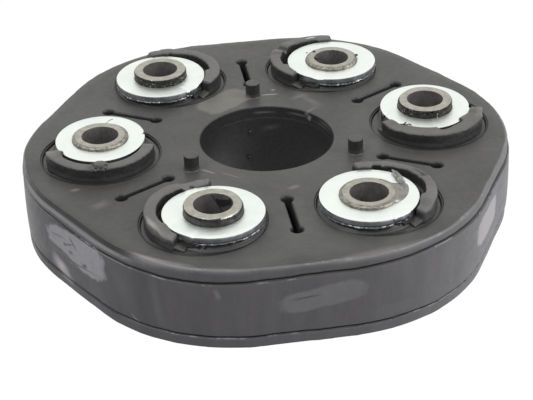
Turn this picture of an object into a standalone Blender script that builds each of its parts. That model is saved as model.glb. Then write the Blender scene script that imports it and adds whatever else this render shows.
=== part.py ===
"""Driveshaft flex disc: a rubber coupling disc with cord loops round six steel bolt sleeves.

Metres, +Z up. The origin is the disc's centre. +Z points to the face with the locating pins,
and -Y points midway between the two sleeves of one close pair.
"""

import math

import bmesh
import bpy
from mathutils import Matrix, Vector

# Gap between separate pieces that touch on the real disc
CLEARANCE = 0.0003

# Bolt circle, with its sleeves grouped in close pairs
PITCH_RADIUS = 0.055
PAIR_COUNT = 3
PAIR_ANGLE = math.radians(51.8)
FIRST_PAIR_DIRECTION = math.radians(270.0)

# Rubber disc: a hexagon with large round corners
BODY_THICKNESS = 0.0282
EDGE_BEYOND_PITCH = 0.0227
CORNER_RADIUS = 0.055

# Side of the disc: a band that stands proud between two mould seams, and a round rim at each face
SEAM_BELOW_FACE = 0.0043
SEAM_DEPTH = 0.0010
SEAM_WIDTH = 0.0008
RIM_INSET = 0.0003
UPPER_RIM_ROUND = 0.0020
LOWER_RIM_ROUND = 0.0011
CROWN_WIDTH = 0.0015
CROWN_DROP = 0.0002

# Hole through the middle, narrower between its two mould seams
HOLE_INSIDE_PITCH = 0.0328
HOLE_STEP = 0.0003

# Steel sleeves: a bolt bore, a thin wall at the ends and a thicker spool between the shoulders
BORE_RADIUS = 0.00605
SLEEVE_WALL = 0.00325
SHOULDER_WIDTH = 0.0023
TALL_STAND = 0.00284
SHORT_STAND = 0.00116

# Steel washers pressed on against the shoulders
WASHER_WIDTH = 0.0059
WASHER_THICKNESS = 0.0030
WASHER_CHAMFER = 0.0004

# Rubber round each sleeve: a sunk floor, a pedestal under the washer and a C-shaped collar
COLLAR_OFFSET = 0.0043
RECESS_DEPTH = 0.0009
PEDESTAL_HEIGHT = 0.0005
PEDESTAL_WALL = 0.0019
COLLAR_SHELF = 0.0018
COLLAR_WALL = 0.0039
COLLAR_HEIGHT = 0.0046
COLLAR_HALF_ANGLE = math.radians(80.0)
FOOT_EXTRA_ANGLE = math.radians(11.0)
FOOT_HEIGHT = 0.0003
FOOT_FLARE = 0.0003

# How far the raised rubber forms reach into the rubber below the sunk floor
PEDESTAL_ROOT = 0.0006
FOOT_ROOT = 0.0003
COLLAR_ROOT = 0.0002

# Locating pins on the upper face
PIN_BEYOND_HOLE = 0.00885
PIN_RADIUS = 0.00245
PIN_HEIGHT = 0.0051
PIN_CHAMFER = 0.0003

# Relief slots in both faces, a round at each end of a narrow neck
SLOT_HALF_LENGTH = 0.00905
SLOT_END_RADIUS = 0.0018
SLOT_HALF_WIDTH = 0.00095
SLOT_FLOOR = 0.0017

# Cord loops: two flat packs round each close pair and one pack between them round each wide pair
CORD_PACK_WIDTH = 0.0034
CORD_COVER = 0.0026
CLOSE_PACK_HEIGHT = 0.0056
CORD_WEB = 0.0018

# Facets
CORNER_SEGMENTS = 7
RIM_SEGMENTS = 3
HOLE_SEGMENTS = 40
RECESS_SEGMENTS = 32
SLEEVE_SEGMENTS = 24
WASHER_SEGMENTS = 28
COLLAR_SEGMENTS = 12
PIN_SEGMENTS = 12
SLOT_END_SEGMENTS = 5
CORD_END_SEGMENTS = 8
SHARP_EDGE = math.radians(40.0)

# Sizes that follow from the ones above
SIDE_COUNT = 2 * PAIR_COUNT
HALF_THICKNESS = BODY_THICKNESS / 2
FLAT_DISTANCE = PITCH_RADIUS + EDGE_BEYOND_PITCH
HOLE_RADIUS = PITCH_RADIUS - HOLE_INSIDE_PITCH
SLEEVE_RADIUS = BORE_RADIUS + SLEEVE_WALL
SPOOL_RADIUS = SLEEVE_RADIUS + SHOULDER_WIDTH
WASHER_BORE = SLEEVE_RADIUS + CLEARANCE
WASHER_RADIUS = WASHER_BORE + WASHER_WIDTH
WASHER_SEAT = PEDESTAL_HEIGHT + CLEARANCE
WASHER_TOP = WASHER_SEAT + WASHER_THICKNESS
RECESS_RADIUS = WASHER_RADIUS + COLLAR_OFFSET
PEDESTAL_RADIUS = SPOOL_RADIUS + CLEARANCE + PEDESTAL_WALL
COLLAR_RADIUS = RECESS_RADIUS - COLLAR_SHELF
CORD_INNER_RADIUS = SPOOL_RADIUS + CLEARANCE
CORD_OUTER_RADIUS = CORD_INNER_RADIUS + CORD_PACK_WIDTH
WIDE_ANGLE = math.tau / PAIR_COUNT - PAIR_ANGLE
WIDE_PACK_DEPTH = CORD_COVER + CLOSE_PACK_HEIGHT + CORD_WEB
SLOT_DEPTH = WIDE_PACK_DEPTH - CLEARANCE - SLOT_FLOOR
SLOT_CENTRE_RADIUS = PITCH_RADIUS * math.cos(PAIR_ANGLE / 2)

# How far a cutter runs past the surface that it opens
OVERRUN = 0.002


def clear_scene():
    for thing in list(bpy.data.objects):
        bpy.data.objects.remove(thing)


def make_material(name, colour, roughness, metallic):
    """A Principled material with one colour."""
    material = bpy.data.materials.new(name)
    material.use_nodes = True
    shader = material.node_tree.nodes["Principled BSDF"]
    shader.inputs["Base Color"].default_value = (*colour, 1.0)
    shader.inputs["Roughness"].default_value = roughness
    shader.inputs["Metallic"].default_value = metallic
    material.diffuse_color = (*colour, 1.0)
    return material


def arc(radius, start, end, segments, centre_x=0.0):
    """Points along an arc, both ends included, about a centre on the X axis."""
    points = []
    for step in range(segments + 1):
        angle = start + (end - start) * step / segments
        points.append((centre_x + radius * math.cos(angle), radius * math.sin(angle)))
    return points


def circle(radius, segments, centre_x=0.0):
    return arc(radius, 0.0, math.tau, segments, centre_x)[:-1]


def racetrack(half_length, radius):
    """Two half circles joined by straights, along the X axis."""
    right = arc(radius, -math.pi / 2, math.pi / 2, CORD_END_SEGMENTS, half_length)
    left = arc(radius, math.pi / 2, 3 * math.pi / 2, CORD_END_SEGMENTS, -half_length)
    return right + left


def add_rings(bm, rings, place=Matrix(), closed=False):
    """Joins rings of points with quads. The ends are capped, or joined when closed is true."""
    loops = [[bm.verts.new(place @ Vector(point)) for point in ring] for ring in rings]
    pairs = list(zip(loops, loops[1:]))
    if closed:
        pairs.append((loops[-1], loops[0]))
    else:
        bm.faces.new(loops[0])
        bm.faces.new(loops[-1])
    for lower, upper in pairs:
        for index in range(len(lower)):
            bm.faces.new((lower[index - 1], lower[index], upper[index], upper[index - 1]))


def level(outline, height):
    """A flat outline lifted to one height."""
    return [(x, y, height) for x, y in outline]


def add_prism(bm, outline, low, high, place=Matrix()):
    """An upright prism over a flat outline."""
    add_rings(bm, [level(outline, low), level(outline, high)], place)


def add_stack(bm, profile, segments, place=Matrix()):
    """A solid turned about Z from (radius, height) points, with flat ends."""
    add_rings(bm, [level(circle(radius, segments), height) for radius, height in profile], place)


def add_turned(bm, profile, segments, place=Matrix()):
    """A ring turned about Z from a closed profile of (radius, height) points."""
    rings = [level(circle(radius, segments), height) for radius, height in profile]
    add_rings(bm, rings, place, closed=True)


def add_loop(bm, half_length, inner, outer, low, high, place=Matrix()):
    """A flat racetrack ring of square section."""
    section = ((inner, low), (outer, low), (outer, high), (inner, high))
    rings = [level(racetrack(half_length, radius), height) for radius, height in section]
    add_rings(bm, rings, place, closed=True)


def finish_mesh(bm, name):
    bmesh.ops.recalc_face_normals(bm, faces=bm.faces)
    mesh = bpy.data.meshes.new(name)
    bm.to_mesh(mesh)
    bm.free()
    return mesh


def place_object(name, mesh, material=None, parent=None):
    piece = bpy.data.objects.new(name, mesh)
    bpy.context.scene.collection.objects.link(piece)
    piece.parent = parent
    if material and not mesh.materials:
        mesh.materials.append(material)
    return piece


def smooth(mesh):
    """Shades round faces smooth and keeps the corners sharp."""
    mesh.shade_smooth()
    mesh.set_sharp_from_angle(angle=SHARP_EDGE)


def sleeve_angles():
    """Each sleeve's direction on the bolt circle and the direction away from its pair partner."""
    found = []
    for pair in range(PAIR_COUNT):
        middle = FIRST_PAIR_DIRECTION + pair * math.tau / PAIR_COUNT
        for side in (-1, 1):
            angle = middle + side * PAIR_ANGLE / 2
            found.append((angle, angle + side * math.pi / 2))
    return found


def on_pitch(angle, turn, height=0.0):
    """A place on the bolt circle, turned about Z."""
    spot = Vector((PITCH_RADIUS * math.cos(angle), PITCH_RADIUS * math.sin(angle), height))
    return Matrix.Translation(spot) @ Matrix.Rotation(turn, 4, "Z")


def face_places():
    """A place at each sleeve on each face: X away from the pair partner, Z out of the face."""
    places = []
    for angle, away in sleeve_angles():
        places.append(on_pitch(angle, away, HALF_THICKNESS))
        places.append(on_pitch(angle, away, -HALF_THICKNESS) @ Matrix.Rotation(math.pi, 4, "X"))
    return places


def chord_place(middle, angle_between, height=0.0):
    """A place midway between two sleeves, X along the line from one to the other."""
    distance = PITCH_RADIUS * math.cos(angle_between / 2)
    spot = Vector((distance * math.cos(middle), distance * math.sin(middle), height))
    return Matrix.Translation(spot) @ Matrix.Rotation(middle + math.pi / 2, 4, "Z")


def disc_outline(inset):
    """The rounded hexagon, drawn in by an inset."""
    centre_distance = (FLAT_DISTANCE - CORNER_RADIUS) / math.cos(math.pi / SIDE_COUNT)
    points = []
    for corner in range(SIDE_COUNT):
        direction = FIRST_PAIR_DIRECTION + (corner + 0.5) * math.tau / SIDE_COUNT
        centre = Vector((centre_distance * math.cos(direction), centre_distance * math.sin(direction)))
        for step in range(CORNER_SEGMENTS + 1):
            angle = direction + (step / CORNER_SEGMENTS - 0.5) * math.tau / SIDE_COUNT
            radius = CORNER_RADIUS - inset
            points.append((centre.x + radius * math.cos(angle), centre.y + radius * math.sin(angle)))
    return points


def rim_profile(radius):
    """(inset, depth below the face) points of a rim, from the face's crown to the seam."""
    points = [(RIM_INSET + radius + CROWN_WIDTH, 0.0)]
    for step in range(RIM_SEGMENTS + 1):
        turn = step / RIM_SEGMENTS * math.pi / 2
        inset = RIM_INSET + radius * (1 - math.sin(turn))
        points.append((inset, CROWN_DROP + radius * (1 - math.cos(turn))))
    points.append((RIM_INSET, SEAM_BELOW_FACE - SEAM_WIDTH / 2))
    points.append((SEAM_DEPTH, SEAM_BELOW_FACE))
    points.append((0.0, SEAM_BELOW_FACE + SEAM_WIDTH / 2))
    return points


def side_profile():
    """(inset, height) points down the disc's side, from the upper face to the lower one."""
    upper = [(inset, HALF_THICKNESS - depth) for inset, depth in rim_profile(UPPER_RIM_ROUND)]
    lower = [(inset, depth - HALF_THICKNESS) for inset, depth in rim_profile(LOWER_RIM_ROUND)]
    return upper + lower[::-1]


def collar_inner_radius(angle):
    """The collar's inner radius about its own centre: thinned where it passes the washer."""
    washer_room = WASHER_RADIUS + CLEARANCE
    across = COLLAR_OFFSET * math.sin(angle)
    past_washer = math.sqrt(washer_room ** 2 - across ** 2) - COLLAR_OFFSET * math.cos(angle)
    return max(COLLAR_RADIUS - COLLAR_WALL, past_washer)


def collar_outline():
    """A C of rubber about the centre of the recess, open towards the pair partner."""
    outer = arc(COLLAR_RADIUS, -COLLAR_HALF_ANGLE, COLLAR_HALF_ANGLE, COLLAR_SEGMENTS, COLLAR_OFFSET)
    inner = []
    for step in range(COLLAR_SEGMENTS + 1):
        angle = COLLAR_HALF_ANGLE * (1 - 2 * step / COLLAR_SEGMENTS)
        radius = collar_inner_radius(angle)
        inner.append((COLLAR_OFFSET + radius * math.cos(angle), radius * math.sin(angle)))
    return outer + inner


def foot_outline():
    """The low foot of the collar, which runs on past both its ends."""
    reach = COLLAR_HALF_ANGLE + FOOT_EXTRA_ANGLE
    outer = arc(COLLAR_RADIUS + FOOT_FLARE, -reach, reach, COLLAR_SEGMENTS, COLLAR_OFFSET)
    inner_radius = COLLAR_RADIUS - COLLAR_WALL - FOOT_FLARE
    return outer + arc(inner_radius, reach, -reach, COLLAR_SEGMENTS, COLLAR_OFFSET)


def slot_outline():
    """A relief slot along the X axis: a neck with a round at each end."""
    join = math.asin(SLOT_HALF_WIDTH / SLOT_END_RADIUS)
    right = arc(SLOT_END_RADIUS, join - math.pi, math.pi - join, SLOT_END_SEGMENTS, SLOT_HALF_LENGTH)
    left = arc(SLOT_END_RADIUS, join, math.tau - join, SLOT_END_SEGMENTS, -SLOT_HALF_LENGTH)
    return right + left


def slot_places():
    """A place at each slot on each face: X outwards, Z out of the face."""
    places = []
    for index in range(SIDE_COUNT):
        turn = Matrix.Rotation(FIRST_PAIR_DIRECTION + index * math.tau / SIDE_COUNT, 4, "Z")
        for flip in (0.0, math.pi):
            out = Vector((SLOT_CENTRE_RADIUS, 0.0, HALF_THICKNESS if flip == 0.0 else -HALF_THICKNESS))
            places.append(turn @ Matrix.Translation(out) @ Matrix.Rotation(flip, 4, "X"))
    return places


def cord_layers():
    """(name, turn from the close pairs, angle between sleeves, low, high) of each kind of cord pack."""
    close_top = HALF_THICKNESS - CORD_COVER
    close_low = close_top - CLOSE_PACK_HEIGHT
    wide_top = HALF_THICKNESS - WIDE_PACK_DEPTH
    wide_turn = math.pi / PAIR_COUNT
    return (
        ("upper_close_cord", 0.0, PAIR_ANGLE, close_low, close_top),
        ("lower_close_cord", 0.0, PAIR_ANGLE, -close_top, -close_low),
        ("wide_cord", wide_turn, WIDE_ANGLE, -wide_top, wide_top),
    )


def cord_places(turn, angle_between):
    places = []
    for pair in range(PAIR_COUNT):
        middle = FIRST_PAIR_DIRECTION + turn + pair * math.tau / PAIR_COUNT
        places.append(chord_place(middle, angle_between))
    return places


def chord_half_length(angle_between):
    return PITCH_RADIUS * math.sin(angle_between / 2)


def hole_profile():
    """The middle hole as (radius, height) points, narrower between its seams."""
    seam = HALF_THICKNESS - SEAM_BELOW_FACE
    past = HALF_THICKNESS + OVERRUN
    narrow = HOLE_RADIUS - HOLE_STEP
    return ((HOLE_RADIUS, past), (HOLE_RADIUS, seam), (narrow, seam), (narrow, -seam),
            (HOLE_RADIUS, -seam), (HOLE_RADIUS, -past))


def pin_profile():
    """A locating pin as (radius, height) points, rooted in the rubber and chamfered at its top."""
    return (
        (PIN_RADIUS, -OVERRUN),
        (PIN_RADIUS, PIN_HEIGHT - PIN_CHAMFER),
        (PIN_RADIUS - PIN_CHAMFER, PIN_HEIGHT),
    )


def apply_tool(body, name, bm, operation):
    """Cuts or joins a hidden shape with a Boolean modifier on the body."""
    tool = place_object(name, finish_mesh(bm, name))
    tool.hide_render = True
    tool.display_type = "WIRE"
    modifier = body.modifiers.new(name, "BOOLEAN")
    modifier.operation = operation
    modifier.solver = "EXACT"
    modifier.object = tool


def build_rubber_body(material):
    bm = bmesh.new()
    add_rings(bm, [level(disc_outline(inset), height) for inset, height in side_profile()])
    body = place_object("rubber_body", finish_mesh(bm, "rubber_body"), material)

    bm = bmesh.new()
    add_stack(bm, hole_profile(), HOLE_SEGMENTS)
    apply_tool(body, "hole_cutter", bm, "DIFFERENCE")

    bm = bmesh.new()
    for place in face_places():
        add_prism(bm, circle(RECESS_RADIUS, RECESS_SEGMENTS, COLLAR_OFFSET), -RECESS_DEPTH, OVERRUN, place)
    apply_tool(body, "recess_cutter", bm, "DIFFERENCE")

    bm = bmesh.new()
    for place in face_places():
        low = -RECESS_DEPTH - PEDESTAL_ROOT
        add_prism(bm, circle(PEDESTAL_RADIUS, SLEEVE_SEGMENTS), low, PEDESTAL_HEIGHT, place)
    apply_tool(body, "pedestal_form", bm, "UNION")

    bm = bmesh.new()
    for place in face_places():
        add_prism(bm, foot_outline(), -RECESS_DEPTH - FOOT_ROOT, FOOT_HEIGHT, place)
    apply_tool(body, "foot_form", bm, "UNION")

    bm = bmesh.new()
    for place in face_places():
        add_prism(bm, collar_outline(), -RECESS_DEPTH - COLLAR_ROOT, COLLAR_HEIGHT, place)
    apply_tool(body, "collar_form", bm, "UNION")

    bm = bmesh.new()
    for angle, away in sleeve_angles():
        reach = HALF_THICKNESS + PEDESTAL_HEIGHT + OVERRUN
        spool_room = circle(SPOOL_RADIUS + CLEARANCE, SLEEVE_SEGMENTS)
        add_prism(bm, spool_room, -reach, reach, on_pitch(angle, away))
    apply_tool(body, "sleeve_cutter", bm, "DIFFERENCE")

    bm = bmesh.new()
    for name, turn, angle_between, low, high in cord_layers():
        for place in cord_places(turn, angle_between):
            add_loop(bm, chord_half_length(angle_between), CORD_INNER_RADIUS - CLEARANCE,
                     CORD_OUTER_RADIUS + CLEARANCE, low - CLEARANCE, high + CLEARANCE, place)
    apply_tool(body, "cord_channel_cutter", bm, "DIFFERENCE")

    bm = bmesh.new()
    for place in slot_places():
        add_prism(bm, slot_outline(), -SLOT_DEPTH, OVERRUN, place)
    apply_tool(body, "slot_cutter", bm, "DIFFERENCE")

    bm = bmesh.new()
    for index in range(PAIR_COUNT):
        turn = FIRST_PAIR_DIRECTION + (index + 0.5) * math.tau / PAIR_COUNT
        out = Vector((HOLE_RADIUS + PIN_BEYOND_HOLE, 0.0, HALF_THICKNESS))
        place = Matrix.Rotation(turn, 4, "Z") @ Matrix.Translation(out)
        add_stack(bm, pin_profile(), PIN_SEGMENTS, place)
    apply_tool(body, "pin_form", bm, "UNION")
    return body


def sleeve_mesh():
    """A sleeve about Z with its tall end up."""
    tall = HALF_THICKNESS + WASHER_TOP + TALL_STAND
    short = HALF_THICKNESS + WASHER_TOP + SHORT_STAND
    shoulder = HALF_THICKNESS + PEDESTAL_HEIGHT
    profile = (
        (BORE_RADIUS, tall),
        (SLEEVE_RADIUS, tall),
        (SLEEVE_RADIUS, shoulder),
        (SPOOL_RADIUS, shoulder),
        (SPOOL_RADIUS, -shoulder),
        (SLEEVE_RADIUS, -shoulder),
        (SLEEVE_RADIUS, -short),
        (BORE_RADIUS, -short),
    )
    bm = bmesh.new()
    add_turned(bm, profile, SLEEVE_SEGMENTS)
    mesh = finish_mesh(bm, "sleeve")
    smooth(mesh)
    return mesh


def washer_mesh():
    """A washer about Z, standing on its plain side at height 0."""
    profile = (
        (WASHER_BORE, 0.0),
        (WASHER_RADIUS, 0.0),
        (WASHER_RADIUS, WASHER_THICKNESS - WASHER_CHAMFER),
        (WASHER_RADIUS - WASHER_CHAMFER, WASHER_THICKNESS),
        (WASHER_BORE, WASHER_THICKNESS),
    )
    bm = bmesh.new()
    add_turned(bm, profile, WASHER_SEGMENTS)
    mesh = finish_mesh(bm, "washer")
    smooth(mesh)
    return mesh


def build_bushings(sleeve_material, washer_material):
    """A sleeve with an upper and a lower washer on an empty at each bolt position."""
    sleeve = sleeve_mesh()
    washer = washer_mesh()
    for number, (angle, away) in enumerate(sleeve_angles(), start=1):
        centre = bpy.data.objects.new(f"bushing_{number}", None)
        bpy.context.scene.collection.objects.link(centre)
        centre.matrix_world = on_pitch(angle, away)

        piece = place_object(f"sleeve_{number}", sleeve, sleeve_material, centre)
        piece.rotation_euler.x = 0.0 if number % 2 else math.pi

        upper = place_object(f"upper_washer_{number}", washer, washer_material, centre)
        upper.location.z = HALF_THICKNESS + WASHER_SEAT

        lower = place_object(f"lower_washer_{number}", washer, washer_material, centre)
        lower.location.z = -HALF_THICKNESS - WASHER_SEAT
        lower.rotation_euler.x = math.pi


def build_cords(material):
    """The cord packs, each an endless flat loop round two neighbouring sleeves."""
    for name, turn, angle_between, low, high in cord_layers():
        bm = bmesh.new()
        add_loop(bm, chord_half_length(angle_between), CORD_INNER_RADIUS, CORD_OUTER_RADIUS, low, high)
        mesh = finish_mesh(bm, name)
        smooth(mesh)
        for number, place in enumerate(cord_places(turn, angle_between), start=1):
            piece = place_object(f"{name}_{number}", mesh, material)
            piece.matrix_world = place


def main():
    clear_scene()
    rubber = make_material("moulded_rubber", (0.085, 0.080, 0.078), 0.62, 0.0)
    steel = make_material("machined_steel", (0.42, 0.39, 0.35), 0.38, 1.0)
    zinc = make_material("zinc_plate", (0.78, 0.80, 0.79), 0.34, 1.0)
    cord = make_material("polyester_cord", (0.55, 0.50, 0.40), 0.85, 0.0)
    build_rubber_body(rubber)
    build_bushings(steel, zinc)
    build_cords(cord)


main()
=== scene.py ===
"""Looks of the driveshaft flex disc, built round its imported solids.

Metres, +Z up, in the frame of the solids. An angle at a bushing is measured from the direction
away from its pair partner, anticlockwise seen from above, about the collar's centre.
"""

import math

import bmesh
import bpy
from mathutils import Euler, Matrix, Vector, noise


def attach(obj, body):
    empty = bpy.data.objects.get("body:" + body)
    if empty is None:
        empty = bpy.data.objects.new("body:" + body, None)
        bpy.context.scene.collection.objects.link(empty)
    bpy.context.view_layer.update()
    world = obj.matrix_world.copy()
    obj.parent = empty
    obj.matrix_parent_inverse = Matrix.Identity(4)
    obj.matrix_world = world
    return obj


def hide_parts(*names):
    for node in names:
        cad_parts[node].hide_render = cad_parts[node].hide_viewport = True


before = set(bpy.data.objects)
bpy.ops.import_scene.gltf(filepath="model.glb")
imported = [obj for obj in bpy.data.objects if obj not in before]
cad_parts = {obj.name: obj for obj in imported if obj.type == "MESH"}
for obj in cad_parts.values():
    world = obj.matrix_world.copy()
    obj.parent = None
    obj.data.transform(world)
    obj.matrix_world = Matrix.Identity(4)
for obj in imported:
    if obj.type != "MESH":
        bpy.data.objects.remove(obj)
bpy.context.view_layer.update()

# Camera, fitted to the washers, bores and outline in the photograph
CAMERA_TARGET = Vector((-0.00639, -0.03992, 0.0141))
CAMERA_DISTANCE = 0.46947
CAMERA_ELEVATION = math.radians(31.05)
CAMERA_AZIMUTH = math.radians(-8.02)
CAMERA_ROLL = math.radians(-1.884)
CAMERA_LENS = 102.24

# Bolt circle, with its sleeves grouped in close pairs
PITCH_RADIUS = 0.055
PAIR_COUNT = 3
PAIR_ANGLE = math.radians(51.8)
FIRST_PAIR_DIRECTION = math.radians(270.0)

# Rubber disc
HALF_THICKNESS = 0.0141
FLAT_DISTANCE = 0.0777
CORNER_RADIUS = 0.055
SEAM_BELOW_FACE = 0.0043
SEAM_DEPTH = 0.0013
SEAM_WIDTH = 0.0007
RIM_INSET = 0.0003
UPPER_RIM_ROUND = 0.0017
LOWER_RIM_ROUND = 0.0010
CROWN_WIDTH = 0.0030
CROWN_DROP = 0.0003
BAND_BULGE = 0.0002
UPPER_RIM_SHIFT = Vector((-0.0003, 0.0003))
LOWER_RIM_SHIFT = Vector((-0.0002, -0.0005))
HOLE_RADIUS = 0.0222
HOLE_STEP = 0.0003
HOLE_EDGE_ROUND = 0.0004

# Rubber round each sleeve
COLLAR_OFFSETS = {1: 0.0035, 2: 0.0037, 3: 0.0043, 4: 0.0043, 5: 0.0043, 6: 0.0043}
RECESS_RADIUS = 0.0198
RECESS_DEPTH = 0.0005
GROOVE_WIDTH = 0.0004
GROOVE_SLOPE = 0.0012
GROOVE_DEPTH = 0.0008
PEDESTAL_RADIUS = 0.0146
PEDESTAL_HEIGHT = 0.0007
PEDESTAL_FOOT = 0.0162
SLEEVE_ROOM = 0.0119
COLLAR_RADIUS = 0.0180
COLLAR_WALL = 0.0039
COLLAR_HEIGHT = 0.0046
COLLAR_HALF_ANGLE = 80.0
COLLAR_ROUND = 0.0007
FOOT_HEIGHT = 0.0010
FOOT_EXTRA_ANGLE = 11.0
FOOT_INNER_RADIUS = 0.0138
FOOT_OUTER_RADIUS = 0.0178
GAP_END = 5.0

# Relief slots
SLOT_CENTRE_RADIUS = 0.0495
SLOT_HALF_LENGTH = 0.00905
SLOT_END_RADIUS = 0.0018
SLOT_HALF_WIDTH = 0.0009
SLOT_DEPTH = 0.0080
SLOT_EDGE_ROUND = 0.0008

# Locating pins
PIN_DISTANCE = 0.03105
PIN_RADIUS = 0.00245
PIN_HEIGHT = 0.0051

# Washers and sleeves
WASHER_SEAT = 0.0008
WASHER_THICKNESS = 0.0030
WASHER_RADIUS = 0.0155
WASHER_BORE = 0.00925
WASHER_TOP = WASHER_SEAT + WASHER_THICKNESS
SLEEVE_RADIUS = 0.0092
TALL_CHAMFER = 0.0005
SHORT_CHAMFER = 0.0010
BORE_RADIUS = 0.00605
TALL_STAND = 0.00284
SHORT_STAND = 0.00116

# Facets and units
MM = 0.001
CORNER_SEGMENTS = 36
FLAT_SEGMENTS = 16
TURNED_SEGMENTS = 128
COLLAR_SEGMENTS = 190
FOOT_SEGMENTS = 90
HIDDEN_SEGMENTS = 64
PIN_SEGMENTS = 40
SHARP_EDGE = math.radians(38.0)
OVERRUN = 0.002


def smoothstep(low, high, value):
    share = min(1.0, max(0.0, (value - low) / (high - low)))
    return share * share * (3.0 - 2.0 * share)


def ripple(point, size, seed=0.0):
    """Smooth noise between about -1 and 1, with waves of a given size."""
    return noise.noise(Vector(point) / size + Vector((seed, seed * 1.7, seed * 0.3)))


def degrees_from(angle, direction):
    """How far an angle in radians lies from a direction in degrees, between -180 and 180."""
    return (math.degrees(angle) - direction + 180.0) % 360.0 - 180.0


def quarter_turn(steps):
    """(1 - sine, 1 - cosine) at even steps of a quarter turn."""
    turns = [step / steps * math.pi / 2 for step in range(steps + 1)]
    return [(1 - math.sin(turn), 1 - math.cos(turn)) for turn in turns]


def around(radius, angle, height=0.0, centre_x=0.0):
    """A point about an upright axis by its angle in radians."""
    return Vector((centre_x + radius * math.cos(angle), radius * math.sin(angle), height))


def polar(radius, degrees, height=0.0):
    return around(radius, math.radians(degrees), height)


def circle(radius, segments, height, centre_x=0.0):
    return [around(radius, math.tau * step / segments, height, centre_x) for step in range(segments)]


def add_rings(bm, rings, place=Matrix(), closed=False):
    """Joins rings of points with quads. The ends are capped, or joined when closed is true."""
    loops = [[bm.verts.new(place @ Vector(point)) for point in ring] for ring in rings]
    pairs = list(zip(loops, loops[1:]))
    if closed:
        pairs.append((loops[-1], loops[0]))
    else:
        bm.faces.new(loops[0])
        bm.faces.new(loops[-1])
    for lower, upper in pairs:
        for index in range(len(lower)):
            bm.faces.new((lower[index - 1], lower[index], upper[index], upper[index - 1]))


def add_stack(bm, profile, segments, place=Matrix(), centre_x=0.0, closed=False):
    """A solid turned about an upright axis from (radius, height) points."""
    add_rings(bm, [circle(radius, segments, height, centre_x) for radius, height in profile], place, closed)


def finish_mesh(bm, name):
    bmesh.ops.recalc_face_normals(bm, faces=bm.faces)
    mesh = bpy.data.meshes.new(name)
    bm.to_mesh(mesh)
    bm.free()
    return mesh


def new_object(name, data):
    thing = bpy.data.objects.new(name, data)
    bpy.context.scene.collection.objects.link(thing)
    return thing


def new_piece(name, bm, materials):
    """A visible piece of the disc with its materials, on the disc's one body."""
    mesh = finish_mesh(bm, name)
    piece = new_object(name, mesh)
    for material in materials:
        mesh.materials.append(material)
    mesh.shade_smooth()
    mesh.set_sharp_from_angle(angle=SHARP_EDGE)
    piece.modifiers.new("weighted_normals", "WEIGHTED_NORMAL").keep_sharp = True
    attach(piece, "root")
    return piece


def bushings():
    """(number, place on the bolt circle with X away from the pair partner) of each bushing."""
    found = []
    for pair in range(PAIR_COUNT):
        middle = FIRST_PAIR_DIRECTION + pair * math.tau / PAIR_COUNT
        for side in (-1, 1):
            angle = middle + side * PAIR_ANGLE / 2
            turn = Matrix.Rotation(angle + side * math.pi / 2, 4, "Z")
            number = 2 * pair + (1 if side < 0 else 2)
            found.append((number, Matrix.Translation(around(PITCH_RADIUS, angle)) @ turn))
    return found


def on_face(place, face):
    """The bushing's place lifted to the upper face, or turned over onto the lower one."""
    if face == "upper":
        return place @ Matrix.Translation((0.0, 0.0, HALF_THICKNESS))
    return place @ Matrix.Translation((0.0, 0.0, -HALF_THICKNESS)) @ Matrix.Rotation(math.pi, 4, "X")


def bushing_faces():
    """(number, face, place on that face, heading) for both faces of each bushing."""
    return [(number, face, on_face(place, face), place.to_euler().z)
            for number, place in bushings() for face in ("upper", "lower")]


# Rubber body

# Where the upper seam wanders: direction, half width in degrees, further below the face
SEAM_WAVES = ((249.0, 14.0, 0.0010), (303.0, 17.0, -0.0010), (208.0, 9.0, 0.0005))

# The round lip at either side of a seam: how far in, and share of the way to the seam
SEAM_LIP = ((0.00006, 0.30), (0.0002, 0.55), (0.00045, 0.78))

# Two ejector nubs in the middle hole: direction, depth below the upper face, size
HOLE_NUBS = ((97.0, 0.0093, 0.0008), (98.0, 0.0192, 0.0009))

# Where the upper rim is pinched above its foot, which then stands out as a bead
PINCH_DIRECTION = 207.0
PINCH_HALF_WIDTH = 29.0
PINCH = 0.0011


def disc_outline(inset, shift):
    """The rounded hexagon, drawn in by an inset, with points along its flats too."""
    reach = (FLAT_DISTANCE - CORNER_RADIUS) / math.cos(math.pi / 6)
    radius = CORNER_RADIUS - inset
    shares = [step / CORNER_SEGMENTS - 0.5 for step in range(CORNER_SEGMENTS + 1)]
    corners = []
    for corner in range(6):
        direction = FIRST_PAIR_DIRECTION + (corner + 0.5) * math.pi / 3
        centre = shift + around(reach, direction).xy
        turns = [direction + share * math.pi / 3 for share in shares]
        corners.append([centre + radius * around(1.0, turn).xy for turn in turns])
    points = []
    for index, corner in enumerate(corners):
        following = corners[(index + 1) % 6][0]
        points += corner
        points += [corner[-1].lerp(following, step / FLAT_SEGMENTS) for step in range(1, FLAT_SEGMENTS)]
    return points


def rim_profile(radius):
    """(inset, depth below the face) points of a rim, from the face's crown into the seam."""
    low = SEAM_BELOW_FACE - SEAM_WIDTH
    quarters = (0.25, 0.5, 0.75)
    rise = low - CROWN_DROP - radius
    points = [(RIM_INSET + radius + CROWN_WIDTH * (1 - share), CROWN_DROP * share * share)
              for share in (0.0, *quarters)]
    points += [(RIM_INSET + radius * out, CROWN_DROP + radius * down) for out, down in quarter_turn(8)]
    points += [(RIM_INSET, CROWN_DROP + radius + rise * share) for share in (*quarters, 1.0)]
    points += [(RIM_INSET + out, low + SEAM_WIDTH * share) for out, share in SEAM_LIP]
    return points + [(SEAM_DEPTH, SEAM_BELOW_FACE)]


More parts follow.
